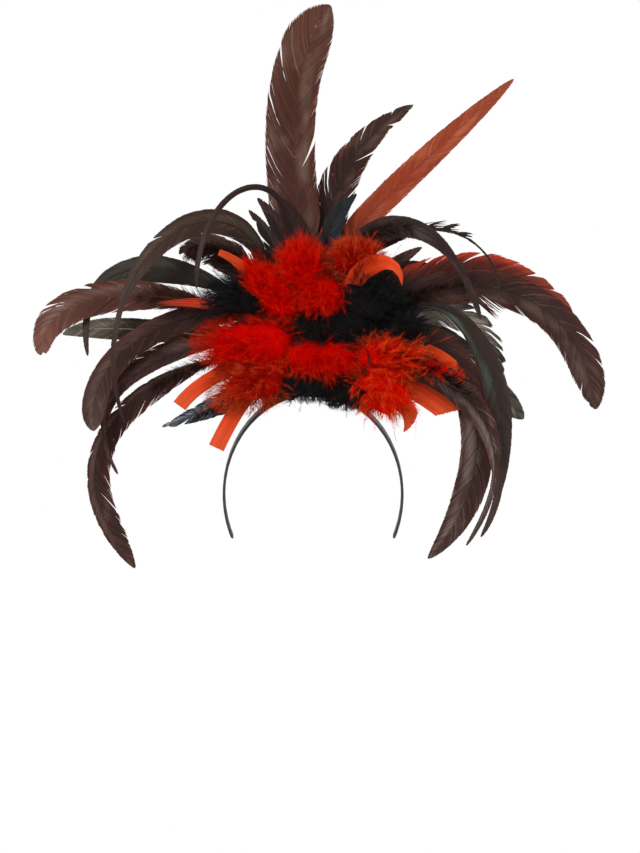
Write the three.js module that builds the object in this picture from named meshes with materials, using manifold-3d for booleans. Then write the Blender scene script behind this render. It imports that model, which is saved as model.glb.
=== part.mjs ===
// Feather headband for costume and stage wear: a satin-wrapped band, a felt base that stands on its crown,
// and a fan of long tail feathers, trimmed strips and down tufts fixed to that base.
// Millimetres, +Z up. The wearer looks along -Y, and the origin is where the band sits on the crown.
import * as THREE from "three";
import { mergeVertices } from "three/addons/utils/BufferGeometryUtils.js";
import Module from "manifold-3d";

const wasm = await Module();
wasm.setup();

// Driving sizes
const GAP = 0.3; // clear between pieces that rest on each other
const SIDE = new THREE.Vector3(0, 1, 0); // from the front of the fan to its back

// The band follows part of an ellipse over the head and leans, so that its ends lie behind the ears.
const BAND = {
  halfWidth: 70, // inside, at its widest
  height: 86, // of the ellipse, inside
  reach: 115, // degrees from the crown to each end
  lean: 20, // degrees that the crown lies forward of the ends
  thickness: 2.4,
  crownWidth: 14,
  endWidth: 8,
  bevel: 0.7,
  steps: 32,
};

// The base is a felt-covered pad, an ellipse above and straight-sided below, with its foot over the band.
const BASE = { x: 2, z: 34, halfWidth: 42, rise: 40, thickness: 12, footSteps: 6, arcSteps: 14 };

// Feathers: half sizes in mm, and shares of the length
const QUILL = { half: 1.2, thick: 1.0 }; // the bare root
const VANE = { thick: 0.5, tipThick: 0.45, cup: 0.3, from: 0.04, notch: 0.12 };
const STEP = 20; // length of feather between two sections, on average
const TIPWARD = 1.3; // how much closer the sections lie toward the tip
const CUT = { thick: 0.7, steps: 6 }; // strips, which are trimmed feathers

// Down: a head, in shares of a tuft's size, with locks that run out of it
const DOWNY = { head: 0.9, locks: 6, sides: 4, lock: 0.52, start: 0.5, spread: 31, tilt: 7 };
const BACK = { outside: -13.8, overBase: -6.3, inset: 2 }; // y behind the tufts, outside and over the base

// Colours, as the photo shows the dyes
const FINISH = {
  satin: { color: 0x17161a, roughness: 0.42 },
  felt: { color: 0x141315, roughness: 0.95 },
  dark: { color: 0x2e1f1e, roughness: 0.45 },
  rust: { color: 0x6a3026, roughness: 0.5 },
  bright: { color: 0xa94a2c, roughness: 0.5 },
  green: { color: 0x243029, roughness: 0.4 },
  grey: { color: 0x4a4644, roughness: 0.45 },
  black: { color: 0x18171a, roughness: 0.6 },
  strip: { color: 0xe8431a, roughness: 0.6 },
  redDown: { color: 0xd91a05, roughness: 0.95 },
  blackDown: { color: 0x121215, roughness: 0.95 },
};

// Tail feathers. A quill leaves the rim of the base at the angle seat, seen from the front and counted from +X,
// lane in front of (-) or behind (+) its middle. It sets off at the angle leave for pull, and comes to
// tip [x, z] at the angle arrive after push. depth gives y near the root, near the tip and at the tip.
// width is the vane's, lead the share of it on the left of the shaft, full the share of the length where it is
// widest and fade where it starts to narrow, blunt how round its end is, and turn its twist in degrees.
// A sickle feather is down to tail of its width at the share thin, and keeps that nearly to its end.
const FEATHERS = [
  { name: "coque_tall_rust_left", finish: "rust", seat: 103, lane: 4, leave: 85, pull: 60,
    tip: [14, 311], arrive: 56, push: 95, depth: [16, 26, 30],
    width: 40, lead: 0.42, full: 0.3, fade: 0.82, blunt: 3.5, turn: [0, 0] },
  { name: "coque_spur_high", finish: "dark", seat: 112, lane: 1, leave: 90, pull: 30,
    tip: [-45, 156], arrive: 135, push: 30, depth: [7, 10, 13],
    width: 16, lead: 0.5, full: 0.4, fade: 0.4, blunt: 1.6, turn: [0, 0] },
  { name: "coque_sickle_high", finish: "dark", seat: 118, lane: -4, leave: 80, pull: 130,
    tip: [-90, 80], arrive: -90, push: 100, depth: [-7, -42, -52],
    width: 28, lead: 0.6, full: 0.2, fade: 0.22, blunt: 1, turn: [0, 20], thin: 0.42, tail: 0.17 },
  { name: "coque_spur_mid", finish: "dark", seat: 124, lane: 4, leave: 95, pull: 32,
    tip: [-52, 147], arrive: 135, push: 30, depth: [14, 20, 24],
    width: 14, lead: 0.5, full: 0.4, fade: 0.4, blunt: 1.6, turn: [0, 0] },
  { name: "coque_spur_low", finish: "dark", seat: 130, lane: 1, leave: 105, pull: 32,
    tip: [-73, 147], arrive: 150, push: 32, depth: [8, 13, 18],
    width: 14, lead: 0.5, full: 0.4, fade: 0.4, blunt: 1.6, turn: [0, 0] },
  { name: "coque_arc_left", finish: "dark", seat: 136, lane: -4, leave: 95, pull: 148,
    tip: [-145, -24], arrive: -70, push: 140, depth: [-3, -44, -58],
    width: 20, lead: 0.5, full: 0.3, fade: 0.4, blunt: 1, turn: [0, 20], thin: 0.72, tail: 0.22 },
  { name: "coque_gloss_left", finish: "dark", seat: 144, lane: 3, leave: 100, pull: 35,
    tip: [-108, 111], arrive: -145, push: 40, depth: [19, 26, 28],
    width: 24, lead: 0.5, full: 0.4, fade: 0.5, blunt: 1.8, turn: [0, 0] },
  { name: "coque_green_left", finish: "green", seat: 150, lane: -2, leave: 120, pull: 45,
    tip: [-177, 29], arrive: -80, push: 114, depth: [6, 6, -12],
    width: 22, lead: 0.5, full: 0.25, fade: 0.55, blunt: 1, turn: [0, 15], thin: 0.85, tail: 0.25 },
  { name: "coque_rust_left", finish: "rust", seat: 163, lane: 2, leave: 140, pull: 70,
    tip: [-210, 30], arrive: -80, push: 60, depth: [3, -12, -36],
    width: 26, lead: 0.5, full: 0.75, fade: 0.8, blunt: 1.6, turn: [0, -10] },
  { name: "coque_broad_left", finish: "dark", seat: 156, lane: -2, leave: 110, pull: 35,
    tip: [-171, -30], arrive: -80, push: 85, depth: [11, 4, -26],
    width: 20, lead: 0.5, full: 0.25, fade: 0.8, blunt: 4, turn: [0, 0] },
  { name: "coque_grey_left", finish: "grey", seat: 170, lane: 3, leave: 175, pull: 20,
    tip: [-202, 48], arrive: -155, push: 30, depth: [24, 38, 48],
    width: 18, lead: 0.5, full: 0.25, fade: 0.75, blunt: 1.6, turn: [0, 0] },
  { name: "coque_dark_left", finish: "dark", seat: 178, lane: -2, leave: 130, pull: 20,
    tip: [-153, -64], arrive: -60, push: 105, depth: [11, 8, -10],
    width: 18, lead: 0.5, full: 0.25, fade: 0.5, blunt: 1, turn: [0, 10], thin: 0.85, tail: 0.2 },
  { name: "coque_long_left", finish: "dark", seat: 187, lane: 2, leave: 150, pull: 25,
    tip: [-140, -138], arrive: -50, push: 165, depth: [16, 14, -6],
    width: 18, lead: 0.5, full: 0.12, fade: 0.8, blunt: 2, turn: [0, 0] },
  { name: "coque_black_left", finish: "black", seat: 205, lane: 3, leave: 195, pull: 15,
    tip: [-121, -27], arrive: -160, push: 110, depth: [20, 20, 12],
    width: 24, lead: 0.5, full: 0.3, fade: 0.4, blunt: 1.2, turn: [0, 0] },
  { name: "coque_dark_up", finish: "dark", seat: 89, lane: 4, leave: 75, pull: 40,
    tip: [81, 234], arrive: 30, push: 96, depth: [24, 40, 52],
    width: 30, lead: 0.5, full: 0.35, fade: 0.55, blunt: 1.1, turn: [0, 0] },
  { name: "coque_black_up", finish: "black", seat: 82, lane: 0, leave: 75, pull: 28,
    tip: [35, 159], arrive: 38, push: 42, depth: [10, 14, 14],
    width: 18, lead: 0.5, full: 0.4, fade: 0.5, blunt: 1.6, turn: [0, 0] },
  { name: "coque_rust_up", finish: "bright", seat: 74, lane: 4, leave: 82, pull: 40,
    tip: [163, 256], arrive: 42, push: 230, depth: [18, 50, 64],
    width: 24, lead: 0.5, full: 0.3, fade: 0.45, blunt: 1.4, turn: [0, 0] },
  { name: "coque_arch_right", finish: "dark", seat: 63, lane: -4, leave: 92, pull: 67,
    tip: [130, 56], arrive: -75, push: 115, depth: [-7, -38, -50],
    width: 20, lead: 0.5, full: 0.3, fade: 0.4, blunt: 1, turn: [0, -15], thin: 0.8, tail: 0.3 },
  { name: "coque_thin_right", finish: "dark", seat: 56, lane: 1, leave: 85, pull: 85,
    tip: [145, 68], arrive: -95, push: 80, depth: [0, -22, -38],
    width: 12, lead: 0.5, full: 0.3, fade: 0.45, blunt: 1, turn: [0, -10], thin: 0.8, tail: 0.35 },
  { name: "coque_spur_right", finish: "dark", seat: 49, lane: 4, leave: 55, pull: 25,
    tip: [88, 118], arrive: 25, push: 25, depth: [25, 34, 40],
    width: 15, lead: 0.5, full: 0.4, fade: 0.4, blunt: 1.6, turn: [0, 0] },
  { name: "coque_edge_right", finish: "dark", seat: 43, lane: 1, leave: 60, pull: 42,
    tip: [107, 98], arrive: -10, push: 42, depth: [14, 18, 22],
    width: 16, lead: 0.5, full: 0.4, fade: 0.4, blunt: 1.4, turn: [0, 0] },
  { name: "coque_red_right", finish: "rust", seat: 36, lane: 4, leave: 55, pull: 30,
    tip: [205, 64], arrive: -45, push: 100, depth: [11, 15, 2],
    width: 25, lead: 0.5, full: 0.2, fade: 0.6, blunt: 1.2, turn: [0, 10] },
  { name: "coque_big_right", finish: "dark", seat: 29, lane: 1, leave: 45, pull: 60,
    tip: [220, -13], arrive: -85, push: 125, depth: [7, -6, -34],
    width: 27, lead: 0.5, full: 0.2, fade: 0.8, blunt: 2.5, turn: [0, 0] },
  { name: "coque_split_right", finish: "grey", seat: 22, lane: 4, leave: 32, pull: 50,
    tip: [150, 17], arrive: -78, push: 60, depth: [19, 24, 16],
    width: 24, lead: 0.5, full: 0.3, fade: 0.6, blunt: 1.4, turn: [0, 0] },
  { name: "coque_green_right", finish: "green", seat: 16, lane: -3, leave: 45, pull: 128,
    tip: [131, -113], arrive: -125, push: 78, depth: [3, -8, -22],
    width: 20, lead: 0.5, full: 0.25, fade: 0.6, blunt: 1, turn: [0, -10], thin: 0.9, tail: 0.3 },
  { name: "coque_grey_right", finish: "grey", seat: 9, lane: 3, leave: 30, pull: 75,
    tip: [170, -20], arrive: -40, push: 40, depth: [26, 40, 44],
    width: 17, lead: 0.5, full: 0.3, fade: 0.85, blunt: 2.5, turn: [0, 0] },
  { name: "coque_broad_right", finish: "dark", seat: 3, lane: -3, leave: 30, pull: 85,
    tip: [90, -130], arrive: -135, push: 110, depth: [-2, -8, -16],
    width: 26, lead: 0.5, full: 0.2, fade: 0.7, blunt: 1.6, turn: [0, 0] },
  { name: "coque_curl_right", finish: "dark", seat: -8, lane: -4, leave: 0, pull: 60,
    tip: [119, -119], arrive: -125, push: 108, depth: [-26, -26, -38],
    width: 22, lead: 0.5, full: 0.2, fade: 0.4, blunt: 1, turn: [0, -15], thin: 0.75, tail: 0.2 },
];

// Trimmed strips and the black ones beside them, and a bare quill. root [x, z] is on the front of the base,
// cut the share of the width that is left at the end, and the rest as for the feathers.
const STRIPS = [
  { name: "strip_left_upper", finish: "strip", root: [-34, 30], leave: 190, pull: 20, tip: [-105, -10],
    arrive: -125, push: 25, depth: [-12, -12, -13], width: 11, fade: 0.9, cut: 1 },
  { name: "strip_left_lower", finish: "strip", root: [-30, 16], leave: 200, pull: 20, tip: [-76, -43],
    arrive: -115, push: 25, depth: [-12, -12, -13], width: 12, fade: 0.9, cut: 1 },
  { name: "strip_left_tip", finish: "strip", root: [-20, 54], leave: 125, pull: 30, tip: [-74, 111],
    arrive: 160, push: 25, depth: [-11, -11, -12], width: 9, fade: 0.6, cut: 0.5 },
  { name: "strip_left_back", finish: "strip", root: [-30, 50], leave: 120, pull: 25, tip: [-125, 70],
    arrive: 185, push: 30, depth: [-11, -11, -12], width: 12, fade: 0.85, cut: 1 },
  { name: "strip_right_lower", finish: "strip", root: [26, 6], leave: 0, pull: 30, tip: [77, -32],
    arrive: -105, push: 25, depth: [-12, -12, -13], width: 12, fade: 0.9, cut: 1 },
  { name: "strip_right_cut", finish: "strip", root: [34, 18], leave: 0, pull: 30, tip: [114, -19],
    arrive: -40, push: 30, depth: [-8.4, -9, -12], width: 19, fade: 0.9, cut: 1 },
  { name: "strip_right_curl", finish: "strip", root: [36, 36], leave: 10, pull: 40, tip: [118, 9],
    arrive: -55, push: 25, depth: [-8.4, -9, -11], width: 14, fade: 0.8, cut: 1 },
  { name: "strip_top_curl", finish: "strip", root: [24, 62], leave: 85, pull: 45, tip: [69, 83],
    arrive: -90, push: 30, depth: [-30, -48, -50], width: 15, fade: 0.4, cut: 0.05 },
  { name: "strip_black", finish: "black", root: [38, 52], leave: 20, pull: 20, tip: [88, 37],
    arrive: -65, push: 20, depth: [-10.5, -10.5, -12], width: 8, fade: 0.6, cut: 0.7 },
  { name: "stem_bare", finish: "black", root: [40, 40], leave: -70, pull: 20, tip: [36, 5],
    arrive: -110, push: 18, depth: [-42, -42, -38], width: 2.4, fade: 0.9, cut: 1 },
];

// Down tufts. at is the head's middle and size its half sizes across, in depth and upward, turned by roll.
// Its locks fan out about the angle lean, as far as reach times its size.
const DOWN = [
  { name: "marabou_red_top_left", finish: "redDown",
    at: [-9, -32, 98], size: [19, 16, 21], roll: 0, lean: 100, reach: 1.35 },
  { name: "marabou_red_upper_left", finish: "redDown",
    at: [-32, -31, 80], size: [33, 15, 16], roll: -48, lean: 130, reach: 1.3 },
  { name: "marabou_red_top_middle", finish: "redDown",
    at: [5, -31, 77], size: [22, 16, 17], roll: 0, lean: 250, reach: 1.25 },
  { name: "marabou_red_top_right", finish: "redDown",
    at: [33, -34, 104], size: [22, 17, 17], roll: 0, lean: 75, reach: 1.35 },
  { name: "marabou_red_left", finish: "redDown",
    at: [-47, -30, 38], size: [39, 17, 21], roll: 0, lean: 175, reach: 1.28 },
  { name: "marabou_red_lower_left", finish: "redDown",
    at: [-44, -29, 9], size: [32, 16, 17], roll: 18, lean: 215, reach: 1.35 },
  { name: "marabou_red_middle", finish: "redDown",
    at: [6, -28, 28], size: [36, 16, 15], roll: 0, lean: -80, reach: 1.3 },
  { name: "marabou_red_right", finish: "redDown",
    at: [58, -30, 27], size: [30, 17, 20], roll: 0, lean: 5, reach: 1.4 },
  { name: "marabou_red_lower_right", finish: "redDown",
    at: [53, -29, 1], size: [29, 16, 19], roll: -20, lean: -75, reach: 1.35 },
  { name: "marabou_red_far_right", finish: "redDown",
    at: [95, -26, 20], size: [27, 12, 13], roll: -15, lean: -15, reach: 1.35 },
  { name: "marabou_black_left", finish: "blackDown",
    at: [-56, -25, 75], size: [27, 13, 17], roll: 0, lean: 165, reach: 1.4 },
  { name: "marabou_black_right", finish: "blackDown",
    at: [43, -26, 76], size: [29, 15, 25], roll: 0, lean: 40, reach: 1.3 },
  { name: "marabou_black_middle", finish: "blackDown",
    at: [12, -21, 53], size: [38, 15, 17], roll: 0, lean: -90, reach: 1.2 },
  { name: "marabou_black_far_right", finish: "blackDown",
    at: [71, -23, 51], size: [18, 11, 13], roll: 0, lean: 0, reach: 1.4 },
  { name: "marabou_black_lower_left", finish: "blackDown",
    at: [-6, -17, 7], size: [27, 11, 14], roll: 0, lean: -95, reach: 1.2 },
  { name: "marabou_black_lower_right", finish: "blackDown",
    at: [30, -19, -1], size: [26, 11, 12], roll: 0, lean: -75, reach: 1.35 },
];

// A CylinderGeometry with its rings moved onto sections: place(t, k) is corner k of the section at the share t.
function loft(sides, steps, place) {
  const shape = new THREE.CylinderGeometry(1, 1, 1, sides, steps);
  shape.deleteAttribute("normal");
  shape.deleteAttribute("uv");
  const position = shape.getAttribute("position");
  const corner = new THREE.Vector3();
  for (let i = 0; i < position.count; i++) {
    corner.fromBufferAttribute(position, i);
    const t = Math.round((corner.y + 0.5) * steps) / steps;
    const onRing = Math.hypot(corner.x, corner.z) > 0.5;
    if (onRing) {
      const k = Math.round((Math.atan2(corner.x, corner.z) / (2 * Math.PI)) * sides);
      corner.copy(place(t, (k + sides) % sides));
    } else {
      corner.set(0, 0, 0);
      for (let k = 0; k < sides; k++) corner.addScaledVector(place(t, k), 1 / sides);
    }
    position.setXYZ(i, corner.x, corner.y, corner.z);
  }
  return mergeVertices(shape, 1e-4);
}

const radians = THREE.MathUtils.degToRad;
const between = THREE.MathUtils.lerp;
const flat = (angle) => new THREE.Vector3(Math.cos(radians(angle)), 0, Math.sin(radians(angle)));

function solidOf(geometry) {
  const bare = geometry.clone();
  bare.deleteAttribute("normal");
  bare.deleteAttribute("uv");
  const merged = mergeVertices(bare, 1e-4);
  return new wasm.Manifold(
    new wasm.Mesh({
      numProp: 3,
      vertProperties: merged.getAttribute("position").array,
      triVerts: new Uint32Array(merged.index.array),
    }),
  );
}

function geometryOf(solid) {
  const mesh = solid.getMesh();
  const geometry = new THREE.BufferGeometry();
  geometry.setAttribute("position", new THREE.BufferAttribute(mesh.vertProperties, 3));
  geometry.setIndex(new THREE.BufferAttribute(mesh.triVerts, 1));
  geometry.computeVertexNormals();
  return geometry;
}

function largest(solid) {
  return solid.decompose().reduce((best, body) => (body.volume() > best.volume() ? body : best));
}

// The band
function bandPoint(angle, outward) {
  const x = (BAND.halfWidth + outward) * Math.sin(radians(angle));
  const up = (BAND.height + outward) * Math.cos(radians(angle)) - BAND.height;
  return new THREE.Vector3(x, -up * Math.sin(radians(BAND.lean)), up * Math.cos(radians(BAND.lean)));
}

function bandGeometry(grow) {
  const across = new THREE.Vector3(0, Math.cos(radians(BAND.lean)), Math.sin(radians(BAND.lean)));
  return loft(8, BAND.steps, (t, k) => {
    const side = 2 * t - 1;
    const half = between(BAND.crownWidth, BAND.endWidth, Math.abs(side) ** 1.5) / 2 + grow;
    const high = BAND.thickness + grow;
    const shoulder = half - BAND.bevel;
    const section = [
      [high - BAND.bevel, half], [high, shoulder], [high, -shoulder], [high - BAND.bevel, -half],
      [BAND.bevel - grow, -half], [-grow, -shoulder], [-grow, shoulder], [BAND.bevel - grow, half],
    ];
    const [outward, along] = section[k];
    return bandPoint(side * (BAND.reach + grow), outward).addScaledVector(across, along);
  });
}

// The base's front, drawn with its edge moved inward
function baseOutline(inset) {
  const half = BASE.halfWidth - inset;
  const outline = new THREE.Shape();
  outline.absellipse(BASE.x, BASE.z, half, BASE.rise - inset, 0, Math.PI, false);
  for (let i = 0; i <= BASE.footSteps; i++) {
    const x = BASE.x + half * ((2 * i) / BASE.footSteps - 1);
    const angle = THREE.MathUtils.radToDeg(Math.asin(x / (BAND.halfWidth + BAND.thickness / 2)));
    outline.lineTo(x, bandPoint(angle, BAND.thickness / 2).z + inset);
  }
  return outline;
}

// An upright slab of the base's form, from front to back in y
function slab(inset, front, back) {
  const options = { depth: back - front, bevelEnabled: false, curveSegments: BASE.arcSteps };
  const form = new THREE.ExtrudeGeometry(baseOutline(inset), options);
  return solidOf(form.rotateX(Math.PI / 2).translate(0, back, 0));
}

function baseGeometry() {
  const half = BASE.thickness / 2;
  return geometryOf(largest(slab(0, -half, half).subtract(solidOf(bandGeometry(GAP)))));
}

// Where a quill starts, just clear of the rim of the base
function rimRoot(row) {
  const run = Math.cos(radians(row.seat));
  const rise = Math.sin(radians(row.seat));
  const side = Math.sign(run);
  const outward = new THREE.Vector3(side, 0, 0);
  const rim = new THREE.Vector3(BASE.halfWidth * side, row.lane, (BASE.halfWidth * rise) / Math.abs(run));
  if (rise > 0) {
    outward.set(run, 0, rise);
    rim.set(BASE.halfWidth * run, row.lane, BASE.rise * rise);
  }
  const leaving = flat(row.leave).multiplyScalar(row.pull).setY(row.depth[0] - row.lane).normalize();
  const clear = GAP + QUILL.half * outward.clone().cross(leaving).length();
  return rim.add(new THREE.Vector3(BASE.x, 0, BASE.z)).addScaledVector(outward, clear);
}

// Where a strip starts, just clear of the front of the base
function frontRoot(row) {
  return new THREE.Vector3(row.root[0], -BASE.thickness / 2 - GAP - CUT.thick, row.root[1]);
}

function route(row) {
  const root = row.root ? frontRoot(row) : rimRoot(row);
  const tip = new THREE.Vector3(row.tip[0], row.depth[2], row.tip[1]);
  const near = root.clone().addScaledVector(flat(row.leave), row.pull).setY(row.depth[0]);
  const far = tip.clone().addScaledVector(flat(row.arrive), -row.push).setY(row.depth[1]);
  const line = new THREE.CubicBezierCurve3(root, near, far, tip);
  line.arcLengthDivisions = 300;
  return line;
}

// The shaft's place at a share of the length, with the way across the vane and the way to its front
function frameAt(line, t, twist) {
  const along = line.getTangentAt(t);
  const across = new THREE.Vector3().crossVectors(along, SIDE).normalize();
  across.applyAxisAngle(along, radians(twist));
  return { middle: line.getPointAt(t), across, front: new THREE.Vector3().crossVectors(along, across) };
}

// Half the vane at a share of the length, as a share of its greatest half width
function vaneShape(row, t) {
  const { thin = 1, tail = 0 } = row;
  const past = THREE.MathUtils.clamp((t - row.fade) / (thin - row.fade), 0, 1);
  const closing = Math.sqrt(1 - THREE.MathUtils.clamp(6 * t - 5, 0, 1) ** 2);
  const narrowing = (1 - past ** row.blunt) ** 0.7;
  return THREE.MathUtils.smoothstep(t, VANE.from, row.full) * Math.max(narrowing, tail * closing);
}

function featherGeometry(row, grow = 0) {
  const line = route(row);
  const steps = THREE.MathUtils.clamp(Math.round(line.getLength() / STEP), 6, 14);
  return loft(8, steps, (s, k) => {
    const t = 1 - (1 - s) ** TIPWARD;
    const { middle, across, front } = frameAt(line, t, between(...row.turn, t));
    const ragged = 1 - VANE.notch * (Math.round(s * steps) % 2);
    const vane = vaneShape(row, t) * ragged * row.width;
    const quill = QUILL.half * (1 - 0.75 * t);
    const left = Math.max(quill, vane * row.lead) + grow;
    const right = Math.max(quill, vane * (1 - row.lead)) + grow;
    const shaft = between(QUILL.thick, VANE.tipThick, t) + grow;
    const thick = between(shaft, VANE.thick + grow, Math.min(1, vane / 8));
    const section = [
      [right, 0], [right / 2, thick], [0, shaft], [-left / 2, thick],
      [-left, 0], [-left / 2, -thick], [0, -shaft], [right / 2, -thick],
    ];
    const [out, up] = section[k];
    const cup = (VANE.cup * out * out) / row.width;
    return middle.clone().addScaledVector(across, out).addScaledVector(front, up - cup);
  });
}

// Strips: a flat vane that keeps its width up to a square or slanting cut
function stripGeometry(row, grow = 0) {
  const line = route(row);
  return loft(6, CUT.steps, (t, k) => {
    const { middle, across, front } = frameAt(line, t, 0);
    const past = Math.max(0, (t - row.fade) / (1 - row.fade));
    const opening = Math.min(1, 0.25 + 2 * t);
    const half = (row.width / 2) * opening * (row.cut + (1 - row.cut) * (1 - past)) + grow;
    const thick = CUT.thick + grow;
    const section = [
      [half, 0], [half / 2, thick], [-half / 2, thick],
      [-half, 0], [-half / 2, -thick], [half / 2, -thick],
    ];
    const [out, up] = section[k];
    return middle.clone().addScaledVector(across, out).addScaledVector(front, up);
  });
}

// Down: an ellipsoid with pointed locks
function tuftSolid(row, grow = 0) {
  const [across, deep, high] = row.size;
  const place = (geometry) => solidOf(geometry.rotateY(radians(-row.roll)).translate(...row.at));
  const head = new THREE.IcosahedronGeometry(1, 1);
  head.scale(across * DOWNY.head + grow, deep * DOWNY.head + grow, high * DOWNY.head + grow);
  let solid = place(head);
  for (let i = 0; i < DOWNY.locks; i++) {
    const side = i - (DOWNY.locks - 1) / 2;
    const angle = radians(row.lean - row.roll + side * DOWNY.spread);
    const edge = 1 / Math.hypot(Math.cos(angle) / across, Math.sin(angle) / high);
    const length = edge * (row.reach * (i % 2 ? 0.92 : 1) - DOWNY.start) + 2 * grow;
    const lock = new THREE.ConeGeometry(DOWNY.lock * Math.min(across, high) + grow, length, DOWNY.sides, 1);
    lock.translate(0, edge * DOWNY.start - grow + length / 2, 0);
    lock.rotateX(radians(i % 2 ? DOWNY.tilt : -DOWNY.tilt) + Math.PI / 2);
    solid = solid.add(place(lock.rotateY(Math.PI / 2 - angle)));
  }
  return solid;
}

// Everything that tufts keep clear of: what lies behind them, the pieces that run through them and each other
function tuftGeometries() {
  const depth = 80;
  const room = new THREE.BoxGeometry(600, depth, 600).translate(0, BACK.outside + depth / 2, 0);
  let taken = solidOf(room).subtract(slab(BACK.inset, BACK.outside - 1, BACK.overBase));
  for (const row of STRIPS) taken = taken.add(solidOf(stripGeometry(row, GAP)));
  for (const row of FEATHERS.filter((feather) => feather.depth[0] < BACK.outside)) {
    taken = taken.add(solidOf(featherGeometry(row, GAP)));
  }
  return DOWN.map((row) => {
    const tuft = largest(tuftSolid(row).subtract(taken));
    taken = taken.add(tuftSolid(row, GAP));
    return geometryOf(tuft);
  });
}

// The part
const part = new THREE.Group();

function addPiece(name, geometry, finish) {
  const mesh = new THREE.Mesh(geometry, new THREE.MeshStandardMaterial({ metalness: 0, ...FINISH[finish] }));
  mesh.name = name;
  part.add(mesh);
}

addPiece("headband", bandGeometry(0), "satin");
addPiece("feather_base", baseGeometry(), "felt");
for (const row of FEATHERS) addPiece(row.name, featherGeometry(row), row.finish);
for (const row of STRIPS) addPiece(row.name, stripGeometry(row), row.finish);
tuftGeometries().forEach((geometry, i) => addPiece(DOWN[i].name, geometry, DOWN[i].finish));

export default part;
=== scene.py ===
# Dresses the feather headband: satin band, felt base, tail feathers in barbs, trimmed strips and down.
# The tables are in millimetres, as in the part's source; meshes are made in metres.
import math

import bmesh
import bpy
import numpy as np
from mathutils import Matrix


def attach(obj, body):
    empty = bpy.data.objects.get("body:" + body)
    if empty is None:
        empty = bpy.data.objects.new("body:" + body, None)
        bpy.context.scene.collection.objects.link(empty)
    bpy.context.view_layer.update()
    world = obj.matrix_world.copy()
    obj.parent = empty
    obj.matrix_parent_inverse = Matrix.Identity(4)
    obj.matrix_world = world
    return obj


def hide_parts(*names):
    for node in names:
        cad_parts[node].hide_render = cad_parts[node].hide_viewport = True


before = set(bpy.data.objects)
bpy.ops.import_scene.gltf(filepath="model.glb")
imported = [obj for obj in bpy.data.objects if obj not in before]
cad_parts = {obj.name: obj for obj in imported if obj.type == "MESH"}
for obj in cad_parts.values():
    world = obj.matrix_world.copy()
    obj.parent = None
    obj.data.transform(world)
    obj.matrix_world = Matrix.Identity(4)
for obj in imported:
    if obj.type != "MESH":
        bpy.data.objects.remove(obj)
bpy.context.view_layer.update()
metre = 0.001  # tables to mesh
mapName = "OFBake"  # the map that a piece's dye follows
frontWay = np.array([0.1, -1, 0.1])  # where strands turn their faces, a little aside so that none lies along it

# Camera: level and in front, as the photo was taken
cameraView = dict(distance=2.4, centreX=0.0055, centreZ=-0.0261, height=0.6739, sensor=36)


def newObject(name, data):
    thing = bpy.data.objects.new(name, data)
    bpy.context.scene.collection.objects.link(thing)
    return thing


def makeCamera(view):
    data = bpy.data.cameras.new("camera")
    data.sensor_width = view["sensor"]
    data.lens = view["sensor"] * view["distance"] / view["height"]
    camera = newObject("camera", data)
    camera.location = (view["centreX"], -view["distance"], view["centreZ"])
    camera.rotation_euler = (math.pi / 2, 0, 0)
    bpy.context.scene.camera = camera


makeCamera(cameraView)
print("camera")


# Small tools for the tables and meshes

def tabled(columns, rows):
    # each row as a dictionary: its columns by their names, then what it alone has
    names = columns.split()
    return {key: dict(zip(names, row), **dict(*row[len(names):])) for key, row in rows.items()}


def unit(vectors):
    return vectors / np.maximum(np.linalg.norm(vectors, axis=-1, keepdims=True), 1e-12)


def flatWay(angle):
    return np.array([math.cos(math.radians(angle)), 0, math.sin(math.radians(angle))])


def easeIn(x, low, high):
    x = np.clip((x - low) / (high - low), 0, 1)
    return x * x * (3 - 2 * x)


def takenFrom(bm):
    # a bmesh as arrays of places and triangles
    bm.verts.index_update()
    places = np.array([v.co for v in bm.verts])
    triangles = np.array([[v.index for v in f.verts] for f in bm.faces])
    bm.free()
    return places, triangles


def inOrder(places, triangles):
    # triangles and their corners by place, since a bevel gives its faces in no fixed order
    first = [min(range(3), key=lambda i: tuple(places[t[i]])) for t in triangles]
    triangles = np.array([np.roll(t, -i) for t, i in zip(triangles, first)])
    return triangles[np.lexsort(places[triangles].mean(1).round(3).T)]


def strandForm(sides, rings, pointed=True):
    bm = bmesh.new()
    bmesh.ops.create_cone(bm, cap_ends=True, segments=sides, radius1=1, radius2=1, depth=rings)
    upright = [e for e in bm.edges if abs(e.verts[0].co.z - e.verts[1].co.z) > rings / 2]
    if rings > 1:
        bmesh.ops.subdivide_edges(bm, edges=upright, cuts=rings - 1)
    if pointed:
        top = [v for v in bm.verts if v.co.z > rings / 2 - 0.5]
        bmesh.ops.pointmerge(bm, verts=top, merge_co=(0, 0, rings / 2))
    bmesh.ops.triangulate(bm, faces=bm.faces[:])
    bmesh.ops.recalc_face_normals(bm, faces=bm.faces[:])
    places, triangles = takenFrom(bm)
    station = np.rint(places[:, 2] + rings / 2).astype(int)
    return {"station": station, "corner": places[:, :2], "triangles": triangles}


def bladeForm(rings, pointed=True):
    # flat below, with a low ridge along its front
    form = strandForm(3, rings, pointed)
    x, y = form["corner"].T
    wide = np.abs(x).max()
    form["corner"] = np.stack([x / wide, (y - y.min()) / (y.max() - y.min())], axis=1)
    return form


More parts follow.
